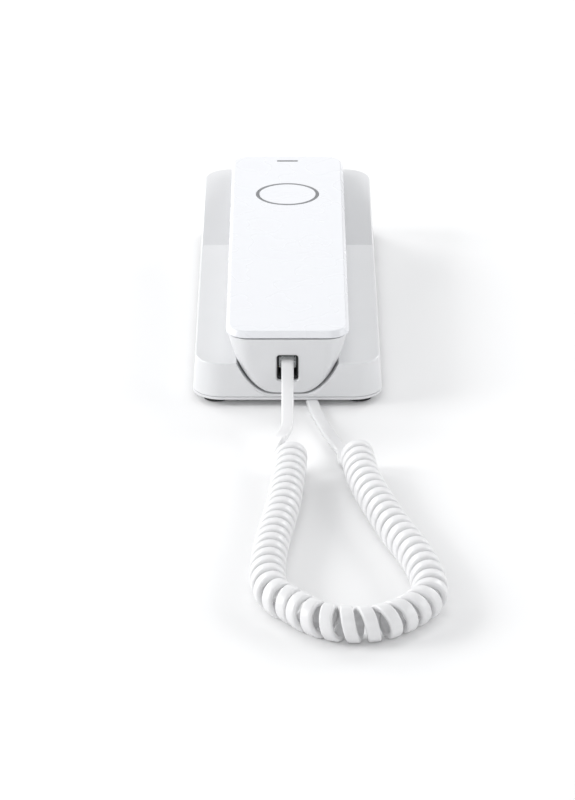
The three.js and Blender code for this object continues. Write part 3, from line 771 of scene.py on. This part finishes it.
def sound_hole(centre, floor):
    """A hole through the underside, slightly flared at the outside."""
    radius, flare = 0.75, 0.3
    profile = [(radius + flare, floor - 1), (radius + flare, floor), (radius, floor + flare)]
    profile.append((radius, floor + 3.5))
    return lathe("cutter", profile, CASING, centre, 16, handset_pose)


HULL = weigh_normals(make_hull())
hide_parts("handset_lower_shell")
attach(HULL, "handset")


# Handset lid ---------------
def make_lid():
    profile = lid_profile(SEAM + 0.35)
    solid = slab("handset_top", LID_WIDTH, HANDSET_LENGTH, LID_CORNER, profile, LID, 14, pose=handset_pose)
    hollow = slab(
        "hollow", LID_WIDTH - 2 * LID_WALL, HANDSET_LENGTH - 2 * LID_WALL, LID_CORNER - LID_WALL,
        [(0, SEAM - 1), (0, LID_TOP - 2.0)], LID, 14, pose=handset_pose,
    )
    inner, outer, above, below = RING_INNER - RING_GAP, RING_OUTER + RING_GAP, LID_TOP + 1, LID_TOP - 1.0
    groove = lathe(
        "groove", [(inner, above), (outer, above), (outer, below), (inner, below), (inner, above)],
        LID, (0, RING_Y), 128, handset_pose,
    )
    slot = slab(
        "slot", LAMP_WIDTH + 0.2, LAMP_LENGTH + 0.2, 0.8, [(0, below), (0, above)],
        LID, 6, (0, LAMP_Y), handset_pose,
    )
    boolean(solid, [hollow, groove, slot])
    bore, post, foot = 1.2, 2.8, 14
    profile = [(bore, foot), (post, foot), (post, LID_TOP - 1), (bore, LID_TOP - 1), (bore, foot)]
    posts = [lathe("post", profile, LID, (0, y), 32, handset_pose) for y in HANDSET_SCREWS]
    return boolean(solid, posts, "UNION")


def lid_profile(low):
    """The lid's side: a rounded lower edge, a tall bevel leaning in and a soft corner into the top."""
    path = [(0.0, low + 0.1), (0.0, SEAM + 0.75), (BEVEL_INSET, LID_TOP), (BEVEL_INSET + 4.0, LID_TOP)]
    points = [(0.3, low), (0.1, low + 0.05), (0.0, low + 0.2)]
    for corner, reach in ((1, 0.18), (2, 0.5)):  # how far each corner's rounding reaches
        a, b, c = (np.array(p, float) for p in path[corner - 1 : corner + 2])
        start, end = b - unit(b - a) * reach, b + unit(c - b) * reach
        for t in np.linspace(0, 1, 7):
            points.append(tuple((1 - t) ** 2 * start + 2 * (1 - t) * t * b + t**2 * end))
    return points


LID_PIECE = weigh_normals(make_lid())
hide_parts("handset_lid")
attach(LID_PIECE, "handset")


def make_light_ring():
    depth, lip = 0.85, 0.12
    profile = [
        (RING_INNER, LID_TOP - depth), (RING_OUTER, LID_TOP - depth), (RING_OUTER, LID_TOP - lip),
        (RING_OUTER - lip, LID_TOP), (RING_INNER + lip, LID_TOP), (RING_INNER, LID_TOP - lip),
        (RING_INNER, LID_TOP - depth),
    ]
    return lathe("light_ring_face", profile, RING, (0, RING_Y), 128, handset_pose)


RING_PIECE = make_light_ring()
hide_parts("light_ring")
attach(RING_PIECE, "handset")

LAMP_PIECE = slab(
    "call_lamp", LAMP_WIDTH, LAMP_LENGTH, 0.7,
    [(0.0, LID_TOP - 1.9), (0.0, LID_TOP - 0.15), (0.05, LID_TOP - 0.05), (0.15, LID_TOP)],
    LAMP, 6, (0, LAMP_Y), handset_pose,
)
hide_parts("call_lamp_window")
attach(LAMP_PIECE, "handset")


# Base ----------------------
def deck_height(y):
    """The deck's height along the base: level, then a ramp whose slope eases out towards the far end."""
    y = np.asarray(y, float)
    far = BASE_LENGTH / 2
    t = np.clip((y - CREASE_Y) / (far - CREASE_Y), 0, 1)
    ramp = (1 - t) ** 2 * DECK_TOP + (1 - (1 - t) ** 2) * REAR_TOP
    return np.where(y < CREASE_Y, DECK_TOP, ramp)


def base_outline(inset, scale):
    """Half the base's outline as (x, y) from the near middle to the far middle, moved in by inset."""
    half_width, half_length = BASE_WIDTH / 2 - inset, BASE_LENGTH / 2 - inset
    radius = max(BASE_CORNER - inset, 0.2)
    near = [
        (half_width - radius + radius * math.sin(a), -half_length + radius - radius * math.cos(a))
        for a in np.linspace(0, math.pi / 2, 25)
    ]
    before = np.linspace(-92, CREASE_Y - 1.2, 34)
    crease = CREASE_Y + np.linspace(-0.8, 0.8, 7)
    beyond = np.linspace(CREASE_Y + 1.2, 92, 34)
    sides = np.concatenate([before, crease, beyond])
    far = [(x, -y) for x, y in reversed(near)]
    front = [(x, -half_length) for x in np.linspace(0.0, half_width - radius, 10)[:-1]]
    back = [(x, half_length) for x in np.linspace(half_width - radius, 0.0, 10)[1:]]
    points = front + near + [(half_width, y) for y in sides] + far + back
    return np.array(points) * scale


def base_ring(inset, z, extra=0.0):
    """One level ring round the base at height z, leaning in with the draft; z may vary along y."""
    lean = DRAFT * (z - BASE_BOTTOM)
    scale = np.column_stack([1 - 2 * lean / BASE_WIDTH, 1 - 2 * lean / BASE_LENGTH])
    return base_outline(inset + extra, scale)


def base_block(name, inset, edge, bottom):
    """The base's outer form, moved in by inset, with the top edge rounded by edge."""
    flat = base_outline(inset, 1.0)
    top = deck_height(flat[:, 1]) - inset
    rings = []
    for share in (0.0, 1.0):
        z = bottom + share * (top - edge - bottom)
        rings.append(np.column_stack([base_ring(inset, z), z]))
    for drop, into in reversed(fillet(edge, 6)[:-1]):
        z = top - drop
        rings.append(np.column_stack([base_ring(inset, z, into), z]))
    rows = [np.vstack([ring, ring[-2:0:-1] * np.array([-1, 1, 1])]) for ring in rings]
    count, half = len(rows[0]), len(flat)
    faces = grid_faces(len(rows), count, close_columns=True)
    top_row = (len(rows) - 1) * count
    faces += strip_across(half, count, top_row)
    faces += [tuple(reversed(f)) for f in strip_across(half, count, 0)]
    return add_mesh(name, np.vstack(rows), faces, CASING)


def strip_across(half, count, first):
    """Quads from each right-hand point of a ring to its mirror image on the left."""
    faces = []
    for i in range(half - 1):
        right = (first + i, first + i + 1)
        left = (first + (count - i) % count, first + (count - i - 1) % count)
        face = [right[0], right[1], left[1], left[0]]
        faces.append(tuple(dict.fromkeys(face)))
    return faces


def cradle_cutter(name, grow, edge, flare):
    """The handset's bed: its own cross-section grown a little, open upwards and at both ends."""
    ends = list(zip(*end_flares(flare)))
    middle = list(np.arange(-100, -70, 4.0)) + list(np.arange(-70, -49, 0.7))
    middle += list(np.arange(-48, 36, 4.0)) + list(np.arange(36, 53, 0.7)) + list(np.arange(54, 102, 2.0))
    stations = ends + [(y, 0.0) for y in middle] + [(-y, spread) for y, spread in reversed(ends)]
    return loft(name, [cradle_row(y, grow + spread, edge) for y, spread in stations], CASING)


def end_flares(flare):
    """Places near the end, nearest first, where the cutter widens to round the cut's outer edge."""
    face = BASE_LENGTH / 2 - DRAFT * 8  # the leaning end wall, halfway up
    steps = fillet(flare)
    ys = [-(face + 4.0), -(face + 0.3)] + [-(face - d) for d, _ in steps[1:]]
    spreads = [flare + 0.6, flare + 0.3] + [s for _, s in steps[1:]]
    return ys, spreads


CRADLE_STRAIGHT = 29.3  # above this the bed's walls are upright
EDGE_TURN = 78  # degrees of rounding at the bed's rim
CUTTER_TOP = 60.0


def cradle_row(y, grow, edge):
    """The bed's cross-section at y, with the deck's edge rounded where the two meet."""
    lie = math.tan(TILT) * (y - NEAR_END)
    half = shell_section(grow, RIM_TOP, 40)[:-1]
    half = np.vstack([half, [(RIM_HALF_WIDTH + grow + 0.02, 29.6)]])
    low = float(underside(y, grow + KEY_ROOM))
    top = float(deck_height(y)) - lie
    side = half[half[:, 1] < min(top - edge, CRADLE_STRAIGHT)]
    corner_x, corner_z = RIM_HALF_WIDTH + grow, top - edge
    if corner_z <= CRADLE_STRAIGHT:
        corner_x = float(np.interp(corner_z, half[:, 1], half[:, 0]))
    points = [(x, max(z, low)) for x, z in side] + [(corner_x, corner_z)]
    turn = [math.radians(EDGE_TURN * i / 6) for i in range(1, 7)]
    arc = [(corner_x + edge * (1 - math.cos(a)), corner_z + edge * math.sin(a)) for a in turn]
    outside = arc[-1][0] + 0.3
    above = [(outside, arc[-1][1] + 0.4), (outside, CUTTER_TOP)]
    right = np.vstack([evenly(np.array(points), 40), arc, above])
    left = right[:0:-1] * np.array([-1, 1])
    return standing(np.vstack([right, left]), y) + np.array([0.0, 0.0, lie])


SCREW_PLACES = [(sx * 31.0, sy * 84.0) for sx in (-1, 1) for sy in (-1, 1)]
BASE_BOSS, BASE_SCREW_HOLE = 3.2, 1.3
HOOK_Y, HOOK_HOLE = 60.0, 2.9
TAB_Y, TAB_WIDTH, TAB_LENGTH, TAB_GAP = 30.0, 7.0, 4.0, 0.3


def level(points):
    """The base's pieces are drawn as they lie."""
    return points


def make_base():
    shell = base_block("base_shell", 0.0, 0.7, BASE_BOTTOM)
    hollow = base_block("hollow", WALL, 0.3, BASE_BOTTOM - 1.0)
    bosses = [rod("boss", place, BASE_BOSS, 0, 40, level) for place in SCREW_PLACES]
    boolean(hollow, [cradle_cutter("grown", CRADLE_CLEARANCE + WALL, 0.1, 0.01)] + bosses)
    holes = [rod("hole", place, BASE_SCREW_HOLE, 0, 13, level) for place in SCREW_PLACES]
    holes.append(lathe("hole", [(HOOK_HOLE, 0), (HOOK_HOLE, 40)], CASING, (0, HOOK_Y)))
    size = (TAB_WIDTH + 2 * TAB_GAP, TAB_LENGTH + 2 * TAB_GAP)
    tab = slab("slot", *size, 0.5, [(0, 12), (0, 20)], CASING, 6, (0, TAB_Y))
    return boolean(shell, [cradle_cutter("cradle", CRADLE_CLEARANCE, 0.35, 0.45), hollow, tab] + holes)


BASE_PIECE = weigh_normals(make_base())
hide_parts("base_top_shell")
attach(BASE_PIECE, "base")


# Bottom plate --------------
CORD_POCKET = (2.4, 13.6, -53.5, -24.0)  # left, right, near, far
LINE_POCKET = (-17.2, -5.8, 10.0, 33.0)
POCKET_TOP, POCKET_SKIN = 9.7, 0.8
KEYHOLE_X, KEYHOLE_YS = -25.5, (-70.0, 62.0)
KEYHOLE_HEAD, KEYHOLE_SLOT, KEYHOLE_REACH = 4.2, 2.1, 9.0  # two radii, and how far the slot goes
SLIDER_X, SLIDER_Y = -29.5, -45.0


def pocket_walls(pocket):
    """The block that a pocket in the plate is sunk into."""
    x0, x1, y0, y1 = pocket
    middle = ((x0 + x1) / 2, (y0 + y1) / 2)
    width, length = x1 - x0 + 2 * POCKET_SKIN, y1 - y0 + 2 * POCKET_SKIN
    top = POCKET_TOP + POCKET_SKIN
    profile = [(0, PLATE_TOP - 0.6), (0, top - 0.3), (0.3, top)]
    return slab("walls", width, length, 1.0, profile, CASING, 6, middle)


def pocket_room(pocket, open_side):
    """Cutters for a pocket's inside and for the mouth where its plug goes in."""
    x0, x1, y0, y1 = pocket
    room = block("room", (x0, y0, 0), (x1, y1, POCKET_TOP), CASING)
    reach = (y1 - 1, y1 + 2) if open_side == "far" else (y0 - 2, y0 + 1)
    low, high = (x0 + 0.4, reach[0], PLATE_TOP + 0.2), (x1 - 0.4, reach[1], POCKET_TOP - 0.4)
    return [room, block("mouth", low, high, CASING)]


def make_plate():
    low = PLATE_LOW[2]
    width, length = PLATE_HIGH[0] - PLATE_LOW[0], PLATE_HIGH[1] - PLATE_LOW[1]
    profile = [(0.5, low), (0.22, low + 0.06), (0.06, low + 0.22), (0.0, low + 0.5),
               (0.0, PLATE_TOP - 0.1), (0.15, PLATE_TOP)]
    plate = slab("base_plate", width, length, BASE_CORNER, profile, CASING, 24)
    boolean(plate, [pocket_walls(CORD_POCKET), pocket_walls(LINE_POCKET)], "UNION")
    cutters = pocket_room(CORD_POCKET, "far") + pocket_room(LINE_POCKET, "near")
    for y in KEYHOLE_YS:
        cutters.append(rod("cutter", (KEYHOLE_X, y), KEYHOLE_HEAD, 0, 6, level))
        slot = (2 * KEYHOLE_SLOT, KEYHOLE_REACH + KEYHOLE_SLOT, KEYHOLE_SLOT - 0.01)
        middle = (KEYHOLE_X, y + (KEYHOLE_REACH + KEYHOLE_SLOT) / 2)
        cutters.append(slab("cutter", *slot, [(0, 0), (0, 6)], CASING, 8, middle))
    cutters += [rod("cutter", place, SCREW_HOLE, 0, 6, level) for place in SCREW_PLACES]
    cutters.append(slab("cutter", 3.6, 9.6, 0.6, [(0, 0), (0, 6)], CASING, 6, (SLIDER_X, SLIDER_Y)))
    return boolean(plate, cutters)


PLATE_PIECE = weigh_normals(make_plate())
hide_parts("base_bottom_plate")
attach(PLATE_PIECE, "base")


def make_foot(index):
    """A stick-on rubber foot with a rounded edge and a shallow ring pressed into its sole."""
    low, high = node_box(f"rubber_foot_{index}")
    centre = ((low[0] + high[0]) / 2, (low[1] + high[1]) / 2)
    radius = (high[0] - low[0]) / 2
    profile = [(0.0, 0.25), (2.2, 0.25), (2.5, 0.0), (radius - 0.8, 0.0), (radius - 0.3, 0.2),
               (radius - 0.05, 0.7), (radius, high[2] - 0.3), (radius - 0.1, high[2]), (0.0, high[2])]
    foot = lathe(f"foot_{index}", profile, RUBBER, centre)
    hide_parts(f"rubber_foot_{index}")
    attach(foot, "base")


for foot_number in (1, 2, 3, 4):
    make_foot(foot_number)


# Keys ----------------------
# Strokes of each legend on a grid 4 wide and 6 high, read with the keypad facing the user.
STROKES = {
    "1": [[(1, 5), (2, 6), (2, 0)]],
    "2": [[(0, 5), (1, 6), (3, 6), (4, 5), (4, 4), (0, 0), (4, 0)]],
    "3": [[(0, 6), (4, 6), (2, 3.6), (3.6, 3), (4, 1.6), (3, 0), (1, 0), (0, 1)]],
    "4": [[(3, 0), (3, 6), (0, 2), (4, 2)]],
    "5": [[(4, 6), (0.6, 6), (0.3, 3.4), (3, 3.6), (4, 2), (3, 0), (1, 0), (0, 1)]],
    "6": [[(3.4, 6), (1, 4), (0, 2), (1, 0), (3, 0), (4, 1.6), (3, 3.2), (1, 3.2), (0.1, 2.2)]],
    "7": [[(0, 6), (4, 6), (1.4, 0)]],
    "8": [[(2, 3.3), (0.5, 4.6), (2, 6), (3.5, 4.6), (2, 3.3), (0, 1.6), (2, 0), (4, 1.6), (2, 3.3)]],
    "9": [[(0.6, 0), (3, 2), (4, 4), (3, 6), (1, 6), (0, 4.4), (1, 2.8), (3, 2.8), (3.9, 3.8)]],
    "0": [[(2, 0), (0.4, 1.4), (0.4, 4.6), (2, 6), (3.6, 4.6), (3.6, 1.4), (2, 0)]],
    "star": [[(2, 1), (2, 5)], [(0.3, 2), (3.7, 4)], [(0.3, 4), (3.7, 2)]],
    "hash": [[(1, 0.6), (1.6, 5.4)], [(2.6, 0.6), (3.2, 5.4)], [(0, 2.2), (4, 2.2)], [(0, 3.8), (4, 3.8)]],
    "redial": [[(4, 2), (3, 1), (1.4, 1), (0.4, 2.2), (0.6, 3.8), (2, 4.8), (3.6, 4.2)],
               [(3.8, 5.6), (3.6, 4.2), (2.2, 3.8)]],
    "flash": [[(2.6, 6), (0.8, 2.8), (3, 3.2), (1.4, 0)]],
    "memory": [[(0, 0.6), (4, 0.6), (4, 5.4), (0, 5.4), (0, 0.6)], [(1.2, 3), (2.8, 3)]],
    "mute": [[(1.2, 2.6), (1.2, 5), (2.8, 5), (2.8, 2.6), (1.2, 2.6)],
             [(2, 2.4), (2, 0.4)], [(0, 0), (4, 6)]],
}
KEY_PROUD = 0.6
KEY_CROWN = 0.16
KEY_EDGE = 0.25
LEGEND_HALF_LINE, LEGEND_PROUD, LEGEND_SUNK = 0.16, 0.025, -0.05
LEGEND_GRID = 0.52  # millimetres per step of the legends' grid


def key_face(x, y, width, length):
    """The height of a key's crowned face at (x, y) from the key's middle; it faces down."""
    across, along = abs(x) / (width / 2), abs(y) / (length / 2)
    return GRIP_BOTTOM - KEY_PROUD + KEY_CROWN * (across**2 + along**2)


def key_cap(name, centre, width, length):
    """A key's cap: a flange above the hole, upright sides, a rounded edge and a dished face."""
    def outline(inset):
        return rounded_rectangle(width - 2 * inset, length - 2 * inset, KEY_CORNER - inset, 8)

    def on_face(edge, rise=0.0):
        heights = [key_face(x, y, width, length) + rise for x, y in edge]
        return np.column_stack([edge, heights])

    flange = GRIP_BOTTOM + WALL + 0.2
    rings = []
    for inset, z in ((-0.9, flange + 0.9), (-0.9, flange), (0.0, flange), (0.0, GRIP_BOTTOM + 0.6)):
        rings.append(ring_at(outline(inset), z))
    rings += [on_face(outline(inset), rise) for rise, inset in reversed(fillet(KEY_EDGE, 4))]
    rings += [on_face(outline(KEY_EDGE) * share) for share in (0.94, 0.8, 0.6, 0.4, 0.2, 0.03)]
    place = np.array([centre[0], centre[1], 0.0])
    return loft(name, [handset_pose(ring + place) for ring in rings], KEYS)


def legend_strokes(name, centre, width, length):
    """The legend's lines as slightly raised strips that follow the key's face."""
    size = LEGEND_GRID
    vertices, faces = [], []
    for stroke in STROKES[name]:
        corners = np.array([((x - 2) * size, (y - 3) * size) for x, y in stroke], float)
        line = evenly(corners, 8 * len(stroke))
        step = unit(np.gradient(line, axis=0))
        normal = np.column_stack([-step[:, 1], step[:, 0]]) * LEGEND_HALF_LINE
        first = len(vertices)
        for p, n in zip(line, normal):
            for q, lift in (
                (p - n, LEGEND_SUNK), (p - n, LEGEND_PROUD), (p + n, LEGEND_PROUD), (p + n, LEGEND_SUNK)
            ):
                z = key_face(q[0], q[1], width, length)
                vertices.append((centre[0] - q[0], centre[1] + q[1], z - lift))
        count = len(line)
        faces += [tuple(first + i for i in f) for f in grid_faces(count, 4, close_columns=True)]
        faces.append(tuple(first + i for i in range(4)))
        faces.append(tuple(first + 4 * (count - 1) + i for i in range(4))[::-1])
    return add_mesh("legend", handset_pose(vertices), faces, LEGEND)


for key_name, key_place in KEY_PLACES.items():
    cap = key_cap(f"keycap_{key_name}", key_place, *key_size(key_name))
    legend = legend_strokes(key_name, key_place, *key_size(key_name))
    key = join(f"keycap_{key_name}", [cap, legend])
    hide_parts(f"key_{key_name}")
    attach(key, f"key_{key_name}")


# Plugs and sockets ---------
PLUG_WIDTH, PLUG_CORNER = 7.2, 0.55
CONTACT_PITCH, CONTACT_HALF = 1.27, 0.17


def plug_body(name, x, mouth, z, height, pose):
    """A clear four-contact plug lying along Y: a rounded block, gold contacts on top, a latch below."""
    near, far = mouth - 1.0, mouth + 10.0
    half = height / 2
    profile = [(0.5, near), (0.15, near + 0.15), (0.0, near + 0.5), (0.0, far - 0.6), (0.35, far)]
    rings = []
    for inset, y in profile:
        size = (PLUG_WIDTH - 2 * inset, height - 2 * inset)
        rings.append(pose(standing(rounded_rectangle(*size, PLUG_CORNER, 4, (x, z)), y)))
    parts = [loft(name, rings, CLEAR)]
    for i in range(4):
        middle = x - 1.9 + CONTACT_PITCH * i
        low = (middle - CONTACT_HALF, far - 4.0, z + half - 0.4)
        high = (middle + CONTACT_HALF, far - 0.5, z + half + 0.12)
        parts.append(block("contact", low, high, GOLD, pose))
    root = ((x - 1.5, far - 1.6, z - half - 0.9), (x + 1.5, far - 0.7, z - half + 0.2))
    arm = ((x - 1.5, near + 0.8, z - half - 1.1), (x + 1.5, far - 0.7, z - half - 0.6))
    parts += [block("latch", *root, CLEAR, pose), block("latch", *arm, CLEAR, pose)]
    return join(name, parts)


HANDSET_PLUG = plug_body("plug_at_handset", 0.0, NEAR_END + 3, 18.3, 5.0, handset_pose)
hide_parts("handset_plug")
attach(HANDSET_PLUG, "handset")
BASE_PLUG = plug_body("plug_at_base", 8.0, -23.7, 7.5, 3.7, level)
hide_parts("base_plug")
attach(BASE_PLUG, "base")


# Carried-over parts --------
FINISHES = {
    BOARD: ["main_board", "handset_board"],
    JACK: ["line_jack", "cord_jack", "handset_jack"],
    CASING: ["hook_plunger", "retainer_tab"],
    DARK: ["hook_switch", "ringer_buzzer", "ringer_slider", "earpiece_speaker", "microphone"],
    STEEL: ["hook_spring", "ballast_left", "ballast_right", "handset_screw_1", "handset_screw_2",
            "base_screw_1", "base_screw_2", "base_screw_3", "base_screw_4"],
    SILICONE: ["keypad_mat"],
}
for finish, node_names in FINISHES.items():
    for node_name in node_names:
        slots = frame["nodes"][node_name].data.materials
        slots.clear()
        slots.append(finish)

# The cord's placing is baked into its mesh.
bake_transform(CORD_PIECE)
